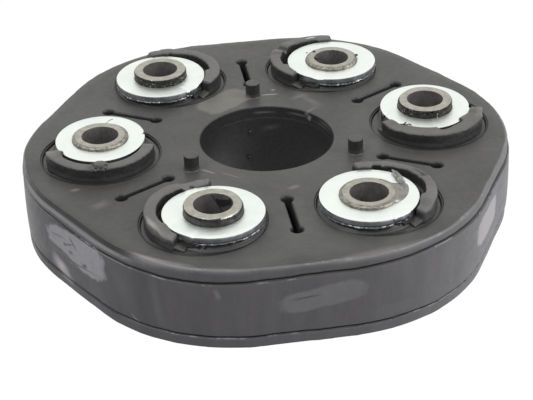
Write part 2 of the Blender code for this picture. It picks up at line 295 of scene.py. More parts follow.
def band_profile():
    """(inset, height) points of the band between the seams, its edges slightly proud of the rims."""
    reach = HALF_THICKNESS - SEAM_BELOW_FACE
    edge = [(SEAM_DEPTH, reach)]
    edge += [(out, reach - SEAM_WIDTH * (1 - share)) for out, share in reversed(SEAM_LIP)]
    edge.append((0.0, reach - SEAM_WIDTH))
    heights = [(reach - SEAM_WIDTH) * (1 - step / 6) for step in range(1, 12)]
    middle = [(-BAND_BULGE * (1 - (height / reach) ** 2), height) for height in heights]
    return edge + middle + [(inset, -height) for inset, height in reversed(edge)]


def seam_drop(angle):
    """How much further below the face the upper seam runs, by the direction round the disc."""
    return sum(amount * math.exp(-((degrees_from(angle, direction) / half_width) ** 2))
               for direction, half_width, amount in SEAM_WAVES)


def pinch_inset(angle, depth):
    """How far the rim is drawn in at a depth below the face, by the direction round the disc."""
    share = math.exp(-((degrees_from(angle, PINCH_DIRECTION) / PINCH_HALF_WIDTH) ** 6))
    return PINCH * share * smoothstep(0.0, 0.0011, depth) * (1 - smoothstep(0.0018, 0.0033, depth))


def side_rings():
    """The side's rings: the upper rim, the band and the lower rim, each from its own part of the mould."""
    upper_rim = rim_profile(UPPER_RIM_ROUND)
    rings = [(inset, HALF_THICKNESS - depth, UPPER_RIM_SHIFT) for inset, depth in upper_rim]
    rings += [(inset, height, Vector((0.0, 0.0))) for inset, height in band_profile()]
    lower_rim = reversed(rim_profile(LOWER_RIM_ROUND))
    rings += [(inset, depth - HALF_THICKNESS, LOWER_RIM_SHIFT) for inset, depth in lower_rim]
    found = []
    for inset, height, shift in rings:
        if height > HALF_THICKNESS - SEAM_BELOW_FACE:
            share = max(0.0, HALF_THICKNESS - height - UPPER_RIM_ROUND) / (SEAM_BELOW_FACE - UPPER_RIM_ROUND)
        else:
            share = max(0.0, height / (HALF_THICKNESS - SEAM_BELOW_FACE))
        calm = 1.0 if abs(height) < HALF_THICKNESS - 0.0005 else 0.0
        ring = []
        for x, y in disc_outline(inset, shift):
            angle = math.atan2(y, x)
            lift = calm * 0.00030 * ripple((x, y, 0.0), 0.009, 3.0 + (height > 0))
            lift += calm * 0.00013 * ripple((x, y, 0.0), 0.0022, 5.0 + (height > 0))
            push = calm * 0.00016 * ripple((x, y, height), 0.014, 7.0)
            if height > 0.0:
                push -= pinch_inset(angle, HALF_THICKNESS - height)
            out = Vector((x, y)).normalized() * push
            ring.append((x + out.x, y + out.y, height + lift - share * seam_drop(angle)))
        found.append(ring)
    return found


def hole_profile():
    """The middle hole as (radius, height) points with rounded edges, a ledge at each seam."""
    seam = HALF_THICKNESS - SEAM_BELOW_FACE
    edge = HOLE_EDGE_ROUND
    half = [(HOLE_RADIUS + edge + 0.0001, HALF_THICKNESS + OVERRUN)]
    half += [(HOLE_RADIUS + edge * out, HALF_THICKNESS - edge * down) for out, down in quarter_turn(5)]
    half += [(HOLE_RADIUS + 0.0001, seam + 0.0006), (HOLE_RADIUS - HOLE_STEP * 0.5, seam),
             (HOLE_RADIUS - HOLE_STEP, seam - 0.0006)]
    return half + [(radius, -height) for radius, height in reversed(half)]


def recess_profile():
    """The sunk floor as (radius, height) points, with a groove along its wall."""
    wall = RECESS_RADIUS
    low = -RECESS_DEPTH - GROOVE_DEPTH
    return ((wall + 0.0003, OVERRUN), (wall + 0.0003, 0.0), (wall + 0.0001, -0.0001), (wall, -0.0003),
            (wall, low), (wall - GROOVE_WIDTH, low), (wall - GROOVE_WIDTH - GROOVE_SLOPE, -RECESS_DEPTH))


def slot_outline(grow):
    """A relief slot along the X axis, its outline moved outwards by an amount."""
    half_width = SLOT_HALF_WIDTH + grow
    end_radius = SLOT_END_RADIUS + grow
    join = math.asin(half_width / end_radius)
    points = []
    for side in (1, -1):
        for step in range(17):
            angle = (join - math.pi) + (math.tau - 2 * join) * step / 16
            x = SLOT_HALF_LENGTH + end_radius * math.cos(angle)
            points.append((side * x, side * end_radius * math.sin(angle)))
    return points


def slot_rings():
    rings = [(SLOT_EDGE_ROUND + 0.0002, OVERRUN)]
    rings += [(SLOT_EDGE_ROUND * out, -1.4 * SLOT_EDGE_ROUND * down) for out, down in quarter_turn(6)]
    rings.append((-0.0003, -SLOT_DEPTH))
    return [[(x, y, height) for x, y in slot_outline(grow)] for grow, height in rings]


def cut(body, name, bm):
    """Cuts a shape out of the body and removes the shape again."""
    cutter = new_object(name, finish_mesh(bm, name))
    modifier = body.modifiers.new(name, "BOOLEAN")
    modifier.operation = "DIFFERENCE"
    modifier.solver = "EXACT"
    modifier.object = cutter
    bpy.context.view_layer.update()
    mesh = bpy.data.meshes.new_from_object(body.evaluated_get(bpy.context.evaluated_depsgraph_get()))
    body.modifiers.clear()
    body.data = mesh
    bpy.data.objects.remove(cutter)


def add_pedestal(bm, place):
    """The ring of rubber that the washer sits on."""
    foot = PEDESTAL_FOOT
    floor = -RECESS_DEPTH
    high = PEDESTAL_HEIGHT
    section = ((SLEEVE_ROOM, floor - 0.0003), (foot, floor - 0.0003), (foot - 0.0002, floor + 0.00005),
               (foot - 0.0006, floor + 0.00025), (PEDESTAL_RADIUS + 0.0003, high - 0.00035),
               (PEDESTAL_RADIUS, high), (SLEEVE_ROOM, high))
    add_stack(bm, section, HIDDEN_SEGMENTS, place, closed=True)


def add_pin(bm, direction):
    """A locating pin with a small fillet at its root and a worn round edge at its top."""
    foot = PIN_RADIUS + 0.0004
    edge = 0.0003
    profile = [(foot, -0.0005), (foot, 0.0), (PIN_RADIUS + 0.0001, 0.0002), (PIN_RADIUS, 0.0005)]
    profile += [(PIN_RADIUS - edge * inward, PIN_HEIGHT - edge * down) for down, inward in quarter_turn(4)]
    profile.append((PIN_RADIUS * 0.5, PIN_HEIGHT + 0.00003))
    out = Vector((PIN_DISTANCE, 0.0, HALF_THICKNESS))
    add_stack(bm, profile, PIN_SEGMENTS, Matrix.Rotation(direction, 4, "Z") @ Matrix.Translation(out))


def add_lump(bm, place, size, seed):
    """A small rough lump of rubber or flash."""
    made = bmesh.ops.create_icosphere(bm, subdivisions=3, radius=1.0)
    for vert in made["verts"]:
        swell = 1.0 + 0.35 * ripple(vert.co, 0.8, seed)
        vert.co = place @ (vert.co * Vector(size) * swell)


def build_body(material):
    bm = bmesh.new()
    add_rings(bm, side_rings())
    body = new_object("rubber_moulding", finish_mesh(bm, "rubber_moulding"))

    bm = bmesh.new()
    add_stack(bm, hole_profile(), TURNED_SEGMENTS)
    cut(body, "hole_shape", bm)

    bm = bmesh.new()
    for number, _, place, _ in bushing_faces():
        add_stack(bm, recess_profile(), TURNED_SEGMENTS, place, COLLAR_OFFSETS[number])
    cut(body, "recess_shape", bm)

    bm = bmesh.new()
    reach = HALF_THICKNESS + OVERRUN
    for _, place in bushings():
        add_stack(bm, ((SLEEVE_ROOM, reach), (SLEEVE_ROOM, -reach)), HIDDEN_SEGMENTS, place)
    cut(body, "sleeve_room", bm)

    bm = bmesh.new()
    for index in range(6):
        turn = Matrix.Rotation(FIRST_PAIR_DIRECTION + index * math.pi / 3, 4, "Z")
        for height, flip in ((HALF_THICKNESS, 0.0), (-HALF_THICKNESS, math.pi)):
            out = Matrix.Translation((SLOT_CENTRE_RADIUS, 0.0, height))
            add_rings(bm, slot_rings(), turn @ out @ Matrix.Rotation(flip, 4, "X"))
    cut(body, "slot_shape", bm)

    bm = bmesh.new()
    bm.from_mesh(body.data)
    foot_reach = COLLAR_HALF_ANGLE + FOOT_EXTRA_ANGLE
    for number, _, place, _ in bushing_faces():
        add_pedestal(bm, place)
        span = (-foot_reach, foot_reach)
        add_curved_wall(bm, place, COLLAR_OFFSETS[number], foot_shape, span, FOOT_SEGMENTS, 0.00004, number)
    for index in range(PAIR_COUNT):
        add_pin(bm, FIRST_PAIR_DIRECTION + (index + 0.5) * math.tau / PAIR_COUNT)
    for degrees, depth, size in HOLE_NUBS:
        spot = polar(HOLE_RADIUS - HOLE_STEP, degrees, HALF_THICKNESS - depth)
        add_lump(bm, Matrix.Translation(spot), (size, size, size), depth * 1000)
    bpy.data.objects.remove(body)
    piece = new_piece("rubber_moulding", bm, [material])
    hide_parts("rubber_body")


# Collars

# Marks of each upper collar as (angle, half width, inward, outward, up), in degrees and millimetres
COLLAR_MARKS = {
    1: ((-55, 9, 0.4, 0, -0.9), (54, 8, 0, 0, 0.2), (-70, 5, 0, 0, -0.3), (76, 13, 0, 0.4, -1)),
    2: ((54, 6, -2.4, 0, -0.3), (-5, 2, 0, 0, -0.3), (-76, 13, 0, 0.3, -1), (5, 38, -0.8, 0, 0)),
    3: ((-60, 9, 0, 0, -0.4), (74, 6, 0, 0, 0.5), (36, 24, 1.1, 0, 0)),
    4: ((-4, 5, 0, 0, -1.7), (10, 5, 0, 0.1, 0.3), (-17, 5, 0, 0.2, 0.2)),
    5: ((80, 4, 0, 0, -1), (55, 8, 0, 0, 0.2)),
    6: ((-66, 7, 0.3, 0.5, 0.4), (0, 9, 2.7, 0, -0.2), (76, 5, 0, 0, 0.2)),
}

# The gap between washer and upper collar: first and last angle, before flash fills it up
COLLAR_GAPS = {1: (-42, 51), 2: (-46, 45), 3: (-2, 40), 4: (-60, 48), 5: (-41, 50), 6: (-64, 76)}
USUAL_GAP = (-45.0, 48.0)
THIN_GAP = 0.0003


def collar_inner_radius(degrees, gap, offset, washer):
    """The collar's inner radius: a free wall along the gap, flash up to the washer past its ends."""
    angle = math.radians(degrees)
    across = offset * math.sin(angle)
    past_washer = math.sqrt((washer + 0.0001) ** 2 - across ** 2) - offset * math.cos(angle)
    free = max(COLLAR_RADIUS - COLLAR_WALL, past_washer + THIN_GAP)
    middle = (gap[0] + gap[1]) / 2
    half = (gap[1] - gap[0]) / 2
    web = math.sqrt(smoothstep(half, half + GAP_END, abs(degrees - middle)))
    return free + (past_washer - free) * web


def wall_section(inner, outer, low, high, edge):
    """Cross-section of a curved wall as (radius, height) points, from outer foot to inner foot."""
    corner = quarter_turn(4)
    points = [(outer, low + (high - edge - low) * step / 8) for step in range(8)]
    points += [(outer - edge * inward, high - edge * down) for down, inward in corner]
    points += [(outer - edge + (inner - outer + 2 * edge) * step / 6, high) for step in range(1, 6)]
    points += [(inner + edge * inward, high - edge * down) for down, inward in reversed(corner)]
    return points + [(inner, high - edge + (low - high + edge) * step / 8) for step in range(1, 9)]


def add_curved_wall(bm, place, offset, shape, span, steps, roughness, seed):
    """A wall swept about the collar's centre; shape(angle in degrees) gives its section."""
    first, last = span
    rings = []
    for step in range(steps + 1):
        degrees = first + (last - first) * step / steps
        angle = math.radians(degrees)
        out = around(1.0, angle, 0.4).normalized()
        ring = []
        for radius, height in shape(degrees):
            spot = around(radius, angle, height, offset)
            rough = roughness * ripple(spot, 0.0011, seed) + 2.2 * roughness * ripple(spot, 0.0045, seed + 9)
            ring.append(spot + out * rough)
        rings.append(ring)
    add_rings(bm, rings, place)


def add_groove_shadow_ring(bm, place, offset):
    """A dark ring in the recess's groove, a painted shadow, wider on the side near the camera."""
    heading = place.to_euler().z
    outer = RECESS_RADIUS + 0.0001
    low = -RECESS_DEPTH - GROOVE_DEPTH - 0.0002
    high = -RECESS_DEPTH + 0.00004
    shift = Vector((offset, 0.0, 0.0))
    rings = []
    for step in range(TURNED_SEGMENTS):
        degrees = 360.0 * step / TURNED_SEGMENTS
        towards = max(0.0, math.cos(math.radians(degrees) + heading - CAMERA_AZIMUTH + math.pi / 2))
        inner = RECESS_RADIUS - 0.0004 - 0.0016 * towards ** 4
        section = ((outer, low), (inner, low), (inner, high), (outer, high + 0.00004))
        rings.append([polar(radius, degrees, height) + shift for radius, height in section])
    add_rings(bm, rings, place, closed=True)


def foot_shape(degrees):
    """A low step that carries on past the collar's ends and slopes down there."""
    slope = smoothstep(COLLAR_HALF_ANGLE - 2.0, COLLAR_HALF_ANGLE + FOOT_EXTRA_ANGLE, abs(degrees))
    high = FOOT_HEIGHT - 0.0009 * slope
    return wall_section(FOOT_INNER_RADIUS, FOOT_OUTER_RADIUS, -RECESS_DEPTH - 0.0002, high, 0.0005)


def build_collars(material):
    for number, face, place, heading in bushing_faces():
        offset = COLLAR_OFFSETS[number]
        gap = COLLAR_GAPS[number] if face == "upper" else USUAL_GAP
        marks = COLLAR_MARKS[number] if face == "upper" else ()

        def shape(degrees):
            washer = WASHER_RADIUS * oval_share(number, face, heading + math.radians(degrees))
            inner = collar_inner_radius(degrees, gap, offset, washer)
            outer = COLLAR_RADIUS
            high = COLLAR_HEIGHT
            for angle, half_width, inward, outward, up in marks:
                share = MM * math.exp(-(((degrees - angle) / half_width) ** 4))
                inner -= inward * share
                outer += outward * share
                high += up * share
            end = smoothstep(COLLAR_HALF_ANGLE - 3.0, COLLAR_HALF_ANGLE, abs(degrees)) ** 2
            return wall_section(inner + 0.0003 * end, outer - 0.0005 * end, -RECESS_DEPTH - 0.0003,
                                high - 0.0011 * end, COLLAR_ROUND)

        seed = number * 3.1 + (20.0 if face == "lower" else 0.0)
        bm = bmesh.new()
        span = (-COLLAR_HALF_ANGLE, COLLAR_HALF_ANGLE)
        add_curved_wall(bm, place, offset, shape, span, COLLAR_SEGMENTS, 0.00013, seed)
        new_piece(f"{face}_collar_{number}", bm, [material])


# Washers and sleeves

# The upper washers aren't quite round: their radius to the right and to the back
WASHER_RADII = {
    1: (0.0159, 0.0154),
    2: (0.0155, 0.0157),
    3: (0.0151, 0.0162),
    4: (0.0158, 0.0156),
    5: (0.0157, 0.0163),
    6: (0.0148, 0.0157),
}


def oval_share(number, face, direction):
    """A washer's radius in a direction round the disc's axes, as a share of the usual one."""
    if face == "lower":
        return 1.0
    across, deep = WASHER_RADII[number]
    turned = direction - CAMERA_AZIMUTH
    return 1.0 / math.hypot(math.cos(turned) / across, math.sin(turned) / deep) / WASHER_RADIUS


# Damage at an upper washer's edge as (angle, half width, inward, down), in degrees and millimetres
WASHER_DENTS = {
    1: ((84, 5, 0.3, 0.4),), 2: ((-96, 4, 0.7, 0.8), (-80, 9, 0.3, 0.5)),
    3: ((-83, 3, 0.6, 0.6), (75, 3, 0.3, 0.4)), 4: ((95, 6, 0.2, 0.5),),
    5: ((-92, 3, 0.7, 0.9), (-80, 8, 0.3, 0.6)), 6: ((98, 3, 0.6, 0.3),),
}

# The torn foot of a washer's edge: (out from its radius, height, share of roughness)
WASHER_TEAR = (
    (-0.0012, 0.0, 0.2), (-0.0007, 0.00008, 0.5), (-0.0003, 0.0002, 1.0), (0.0, 0.00035, 1.0),
    (0.0001, 0.0005, 1.0), (0.0001, 0.00062, 1.0), (0.00005, 0.00074, 1.0), (-0.00005, 0.00086, 0.9),
    (-0.0002, 0.00098, 0.6), (-0.00022, 0.0011, 0.3), (-0.0001, 0.0013, 0.1), (-0.0001, 0.0016, 0.05),
    (-0.0001, 0.0023, 0.02),
)


def washer_profile():
    """(radius, height, share of roughness) points: a rough burr below a smooth sheared band."""
    bore = WASHER_BORE
    outer = WASHER_RADIUS
    high = WASHER_THICKNESS
    smooth = ((outer - 0.0001, high - 0.00022), (outer - 0.00016, high - 0.00007), (outer - 0.0003, high),
              (outer - 0.0022, high), (bore + 0.0001, high), (bore, high - 0.0001), (bore, 0.0002))
    points = [(bore + 0.0002, 0.0, 0.0)]
    points += [(outer + out, height, rough) for out, height, rough in WASHER_TEAR]
    return points + [(radius, height, 0.0) for radius, height in smooth]


def build_washers(top_zinc, edge_zinc):
    steps = 3 * TURNED_SEGMENTS
    for number, face, place, heading in bushing_faces():
        seed = number * 5.3 + (40.0 if face == "lower" else 0.0)
        dents = WASHER_DENTS[number] if face == "upper" else ()
        rings = []
        for radius, height, fracture in washer_profile():
            ring = []
            edge = smoothstep(WASHER_RADIUS - 0.0018, WASHER_RADIUS - 0.0003, radius)
            ovalness = smoothstep(WASHER_BORE + 0.001, WASHER_RADIUS - 0.0025, radius)
            for step in range(steps):
                angle = math.tau * step / steps
                oval = 1.0 + (oval_share(number, face, angle + heading) - 1.0) * ovalness
                spot = around(radius, angle, height)
                rough = 0.00022 * ripple(spot, 0.0006, seed) + 0.00016 * ripple(spot, 0.0026, seed + 2)
                reach = radius * oval + fracture * rough
                drop = fracture * 0.00018 * ripple(spot, 0.0022, seed + 8)
                for at, half_width, inward, down in dents:
                    share = MM * edge * math.exp(-((degrees_from(angle, at) / half_width) ** 2))
                    share *= 1.0 + 0.5 * ripple(spot, 0.0009, seed + 5)
                    reach -= inward * share
                    drop += down * share * (height > 0.001)
                ring.append(around(reach, angle, height - drop))
            rings.append(ring)
        bm = bmesh.new()
        add_rings(bm, rings, place @ Matrix.Translation((0.0, 0.0, WASHER_SEAT)), closed=True)
        for index, patch in enumerate(bm.faces):
            if 1 <= index // steps <= 14:
                patch.material_index = 1
        piece = new_piece(f"{face}_zinc_washer_{number}", bm, [top_zinc, edge_zinc])
        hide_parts(f"{face}_washer_{number}")


def sleeve_corner(end, sign, chamfer):
    """(radius, height) points of a sleeve's wall at one end, from the bore outwards."""
    mouth = 0.00018
    outer = SLEEVE_RADIUS
    corner = ((BORE_RADIUS, 0.003), (BORE_RADIUS, mouth), (BORE_RADIUS + mouth * 0.35, mouth * 0.35),
              (BORE_RADIUS + mouth, 0.0), (outer - chamfer, 0.0), (outer - chamfer * 0.5, 0.00016),
              (outer - 0.0001, 0.0004), (outer, 0.0006), (outer, 0.0012), (outer, 0.0022))
    return [(radius, end - sign * depth) for radius, depth in corner]


# Worn sides of the sleeves' upper ends: direction round the disc, half width, inward, how far down, polished
SLEEVE_WEAR = {
    1: (-28.0, 55.0, 0.0009, 0.0012, True),
    3: (150.0, 36.0, 0.0005, 0.0016, False),
}


def build_sleeves(end_steel, walls, bore_steel):
    tall = (HALF_THICKNESS + WASHER_TOP + TALL_STAND, TALL_CHAMFER)
    short = (HALF_THICKNESS + WASHER_TOP + SHORT_STAND, SHORT_CHAMFER)
    for number, place in bushings():
        (top, top_chamfer), (bottom, bottom_chamfer) = (tall, short) if number % 2 else (short, tall)
        last_wall = 13 if number % 2 else 14
        middle, half_width, inward, deep, polished = SLEEVE_WEAR.get(number, (0.0, 1.0, 0.0, 1.0, False))
        heading = math.degrees(place.to_euler().z)
        rings = []
        upper_corner = sleeve_corner(top, 1, top_chamfer)
        for radius, height in sleeve_corner(-bottom, -1, bottom_chamfer) + upper_corner[::-1]:
            ring = []
            wear = smoothstep(SLEEVE_RADIUS - 0.0013, SLEEVE_RADIUS - 0.0002, radius)
            for step in range(TURNED_SEGMENTS):
                angle = math.tau * step / TURNED_SEGMENTS
                spot = around(radius, angle, height)
                rough = 0.00006 * ripple(spot, 0.0013, number) + 0.00012 * ripple(spot, 0.005, number)
                reach = radius + wear * rough
                if radius > SLEEVE_RADIUS - 0.0014:
                    share = math.exp(-((degrees_from(angle, middle - heading) / half_width) ** 4))
                    reach -= share * inward * max(0.0, 1.0 - (top - height) / deep)
                ring.append(around(reach, angle, height))
            rings.append(ring)
        bm = bmesh.new()
        add_rings(bm, rings, Matrix(), closed=True)
        for index, face in enumerate(bm.faces):
            band = index // TURNED_SEGMENTS
            centre = face.calc_center_median()
            away = degrees_from(math.atan2(centre.y, centre.x), middle - heading)
            shiny = polished and band >= 12 and math.exp(-((away / half_width) ** 4)) > 0.4
            if 5 <= band <= last_wall and not shiny:
                face.material_index = 1
            elif math.hypot(centre.x, centre.y) < BORE_RADIUS + 0.00010:
                face.material_index = 2
        bmesh.ops.transform(bm, matrix=place, verts=bm.verts)
        steels = [end_steel, walls[number], bore_steel]
        piece = new_piece(f"turned_sleeve_{number}", bm, steels)
        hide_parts(f"sleeve_{number}")


# Small damage and flash, in degrees and millimetres

# Black rubber left on the washers and in the gaps: bushing, angle from away, radius, height, size
CRUMBS = (
    (1, 90, 15.7, 1.2, 0.6), (1, 97, 15.5, 0.9, 0.5), (1, -48, 16.5, 3.6, 0.9), (1, -44, 16, 3.4, 0.6),
    (2, -88, 15.7, 1.4, 0.5), (2, 30, 16.6, 3, 0.6), (3, -83, 15.4, 3.2, 0.7), (3, -47, 16, 3.8, 0.7),
    (3, 45, 15.4, 3.7, 0.5), (4, 94, 15.7, 1, 0.6), (4, -14, 7.8, 5, 0.6), (4, -11, 10.8, 3.8, 0.3),
    (4, 26, 5.4, 4.8, 0.9), (4, -143, 9.3, 4.6, 0.6), (5, -88, 15.5, 2.6, 0.6), (5, 58, 16.2, 3.6, 0.8),
    (6, 98, 15, 3.6, 0.5), (6, -7, 18.5, 4.4, 0.8), (6, -3, 21, 4.6, 0.6), (6, 6, 19.6, 4.5, 0.8),
    (6, 3, 22.2, 4.2, 0.9), (6, -6, 22.2, 4.2, 0.8),
)

# Grey lumps of collar rubber, in the same way
LUMPS = (
    (6, -4, 19.6, 4.5, 1), (6, 1, 20.4, 4.6, 0.9), (6, 5, 21.2, 4.4, 0.8), (6, -8, 20.6, 4.4, 0.7),
    (6, -1, 22.1, 4.3, 0.7), (3, 50, 16, 4, 0.7), (3, 60, 16, 4.1, 0.8), (3, 68, 16.1, 4, 0.6),
)

# Black flash left under a washer's edge: bushing, first and last angle from away, greatest height
FLASH_ARCS = (
    (1, 60, 90, 2.7), (2, -86, -60, 2.7), (3, -92, -66, 3.7), (4, 60, 93, 2.7), (5, -84, -58, 2.7),
)

# Dark scratches and tears in the washers: bushing, half width, points as (radius, angle from away)
STROKES = (
    (6, 0.11, ((10.6, 170), (11.3, 168), (12.3, 167), (13.1, 164), (13.5, 162))),
    (3, 0.36, ((16.4, -49), (15.8, -47), (15, -45.5), (13.6, -45))),
    (3, 0.3, ((15.7, -46), (15, -41), (14.3, -40), (14.5, -37), (15, -35))),
    (3, 0.34, ((16, 31), (15.6, 38), (15.2, 46), (15.3, 53), (16, 58))),
    (4, 0.1, ((10.5, -14), (10.8, -9))),
)

# The metal curl lifted off washer 2: radius, angle from away, height over the washer, width
CURL_PATH = (
    (15.7, 25, 0.6, 0.6), (14.6, 17, 0.8, 1.9), (13.3, 7, 0.7, 2.2), (12.3, -5, 0.5, 1.9),
    (11.7, -15, 0.3, 1.3), (11, -24, 0.1, 0.4),
)

# A dark sheet in bore 1, a painted shadow: angle round the disc's axes, upper and lower depth below the
# sleeve's end
BORE_SHADOW_EDGES = (
    (76, 1.9, 2.9), (66, 2.1, 4.6), (52, 2, 4.5), (40, 1.5, 3.6), (30, 0.9, 3.1), (18, 0.4, 2),
)
BORE_SHADOW_LINE = ((87, 0.4, 0.9), (58, 6, 6.6))


def curl_rings():
    """A thin bent ribbon that lies on washer 2."""
    section = ((-0.5, 0.0), (-0.5, 0.15), (-0.15, 0.4), (0.25, 0.35), (0.5, 0.1), (0.5, -0.05))
    rings = []
    for radius, degrees, lift, width in CURL_PATH:
        points = [((radius + side * width) * MM, (lift + up) * MM) for side, up in section]
        rings.append([polar(distance, degrees, WASHER_TOP + height) for distance, height in points])
    return rings


def scrape_rings():
    """Steel smeared outwards from sleeve 2 in a crescent, where the curl came off."""
    sleeve_top = WASHER_TOP + SHORT_STAND + 0.00003
    inner = SLEEVE_RADIUS - 0.0013
    rings = []
    for step in range(61):
        degrees = -112.0 + 142.0 * step / 60
        swell = min(1.0, smoothstep(-4.0, 9.0, -degrees) * max(0.0, 1.0 + (degrees + 12.0) / 62.0))
        outer = SLEEVE_RADIUS + 0.00005 + 0.0041 * swell
        crest = sleeve_top - 0.0002 - 0.0005 * swell
        section = ((inner, WASHER_TOP), (outer + 0.0001, WASHER_TOP - 0.0002), (outer, WASHER_TOP + 0.0001),
                   ((inner + outer) / 2 + 0.0003, crest), (inner + 0.0004, sleeve_top), (inner, sleeve_top))
        rings.append([polar(radius, degrees, height) for radius, height in section])
    return rings


def add_stroke(bm, place, half_width, path):
    """A raised dark line that lies on a washer and thins out towards its ends."""
    points = [polar(radius * MM, degrees, WASHER_TOP) for radius, degrees in path]
    last = len(points) - 1
    rings = []
    for index, point in enumerate(points):
        along = (points[min(index + 1, last)] - points[max(index - 1, 0)]).normalized()
        side = along.cross(Vector((0.0, 0.0, 1.0))) * half_width * (0.4 if index in (0, last) else 1.0)
        up = Vector((0.0, 0.0, half_width))
        rings.append([point - side, point + up, point + side, point - Vector((0.0, 0.0, 0.0001))])
    add_rings(bm, rings, place)


def add_flash_arc(bm, number, place, first, last, highest):
    heading = place.to_euler().z

    def shape(degrees):
        radius = WASHER_RADIUS * oval_share(number, "upper", heading + math.radians(degrees))
        wave = ripple((degrees * 0.01, 0.0, 0.0), 0.045, number)
        high = WASHER_SEAT + (highest - WASHER_SEAT) * (0.62 + 0.38 * wave)
        return wall_section(radius - 0.0006, radius + 0.0002, 0.0, high, 0.0001)

    add_curved_wall(bm, place, 0.0, shape, (first, last), 60, 0.00022, number)


def add_film(bm, edges, end_height, axis):
    """A thin sheet on a bore's wall between an upper and a lower edge."""
    steps = 12
    outer = BORE_RADIUS - 0.00002
    inner = BORE_RADIUS - 0.00012
    rings = []
    for (first, first_top, first_low), (last, last_top, last_low) in zip(edges, edges[1:]):
        for step in range(steps + (edges[-1][0] == last)):
            share = step / steps
            degrees = first + (last - first) * share
            ragged = 0.0003 * ripple((degrees * 0.0001, 0.0, 0.0), 0.0004, 2.0)
            top = end_height - (first_top + (last_top - first_top) * share) * MM + ragged
            low = end_height - (first_low + (last_low - first_low) * share) * MM - ragged
            section = ((inner, top), (outer, top), (outer, low), (inner, low))
            rings.append([polar(radius, degrees, height) for radius, height in section])
    add_rings(bm, rings, Matrix.Translation(axis))


def add_crumbs(bm, places, crumbs):
    for index, (number, degrees, radius, height, size) in enumerate(crumbs):
        spot = places[number] @ Matrix.Translation(polar(radius * MM, degrees, height * MM))
        add_lump(bm, spot, Vector((1.0, 0.7, 0.6)) * size * MM, index * 2.3)


def build_details(rubber, black_rubber, metal, steel):
    places = {number: on_face(place, "upper") for number, place in bushings()}
    smears = (("washer_curl", curl_rings(), metal), ("washer_scrape", scrape_rings(), steel))
    for name, rings, material in smears:
        bm = bmesh.new()
        add_rings(bm, rings, places[2])
        new_piece(name, bm, [material])
    bm = bmesh.new()
    add_crumbs(bm, places, LUMPS)
    new_piece("rubber_lumps", bm, [rubber])

    bm = bmesh.new()
    add_crumbs(bm, places, CRUMBS)
    for number, first, last, highest in FLASH_ARCS:
        add_flash_arc(bm, number, places[number], first, last, highest * MM)
    # The dark rings in the grooves are painted shadow
    for number, place in places.items():
        add_groove_shadow_ring(bm, place, COLLAR_OFFSETS[number])
    for number, half_width, path in STROKES:
        add_stroke(bm, places[number], half_width * MM, path)
    # The dark sheets in bore 1 are painted shadow
    tall_end = HALF_THICKNESS + WASHER_TOP + TALL_STAND
    axis = dict(bushings())[1].translation
    for edges in (BORE_SHADOW_EDGES, BORE_SHADOW_LINE):
        add_film(bm, edges, tall_end, axis)
    new_piece("rubber_flash_and_shadow", bm, [black_rubber])


# Materials. A value that a node gives out is passed on as its socket, which knows its own node tree.


def connect(node, inputs):
    """Sets a node's inputs, each to a value or to another node's output."""
    for key, value in inputs.items():
        if isinstance(value, bpy.types.NodeSocket):
            node.id_data.links.new(value, node.inputs[key])
        else:
            node.inputs[key].default_value = value


def add_node(tree, kind, inputs=None, **settings):
    node = tree.nodes.new(kind)
    for name, value in settings.items():
        setattr(node, name, value)
    connect(node, inputs or {})
    return node


def start_material(name, metallic=0.0):
    """A new material with its shader, and the place on the object as a socket."""
    material = bpy.data.materials.new(name)
    material.use_nodes = True
    shader = material.node_tree.nodes["Principled BSDF"]
    shader.inputs["Metallic"].default_value = metallic
    return material, shader, add_node(material.node_tree, "ShaderNodeTexCoord").outputs["Object"]


def noise_value(place, scale, detail=3.0, roughness=0.5):
    inputs = {"Vector": place, "Scale": scale, "Detail": detail, "Roughness": roughness}
    return add_node(place.id_data, "ShaderNodeTexNoise", inputs).outputs["Fac"]


def remap(value, from_low, from_high, to_low=0.0, to_high=1.0):
    inputs = {"Value": value, "From Min": from_low, "From Max": from_high, "To Min": to_low,
              "To Max": to_high}
    return add_node(value.id_data, "ShaderNodeMapRange", inputs, clamp=True).outputs["Result"]


def combine(operation, first, second=0.0):
    inputs = {0: first, 1: second}
    return add_node(first.id_data, "ShaderNodeMath", inputs, operation=operation).outputs["Value"]


def times(first, *others):
    for other in others:
        first = combine("MULTIPLY", first, other)
    return first


def combine_vectors(operation, first, second=(0.0, 0.0, 0.0), output="Vector"):
    inputs = {0: first, 1: second}
    return add_node(first.id_data, "ShaderNodeVectorMath", inputs, operation=operation).outputs[output]


def axes_of(vector):
    return add_node(vector.id_data, "ShaderNodeSeparateXYZ", {"Vector": vector}).outputs


def blend(share, *colours):
    """The colour at a share of the way from the first of two colours to the second."""
    node = add_node(share.id_data, "ShaderNodeMix", {"Factor": share}, data_type="RGBA")
    sockets = [colour if isinstance(colour, bpy.types.NodeSocket) else (*colour, 1.0) for colour in colours]
    connect(node, {6: sockets[0], 7: sockets[1]})
    return node.outputs[2]


def bump(height, strength, distance):
    inputs = {"Height": height, "Strength": strength, "Distance": distance}
    return add_node(height.id_data, "ShaderNodeBump", inputs).outputs["Normal"]


def mark_mask(place, ragged, centre, turn, tilt, half_size, edge):
    """1 inside a soft-edged rounded box, 0 outside it."""
    rotation = Euler((0.0, -math.radians(tilt), math.radians(turn)))
    inputs = {"Vector": place, "Location": centre, "Scale": half_size, "Rotation": rotation}
    spot = add_node(place.id_data, "ShaderNodeMapping", inputs, vector_type="TEXTURE").outputs["Vector"]
    square = combine_vectors("MULTIPLY", spot, spot)
    fourth = combine_vectors("MULTIPLY", square, square)
    total = combine_vectors("DOT_PRODUCT", fourth, (1.0, 1.0, 1.0), "Value")
    distance = combine("ADD", combine("POWER", total, 0.25), ragged)
    return remap(distance, 1.0 - edge, 1.0 + edge, 1.0, 0.0)
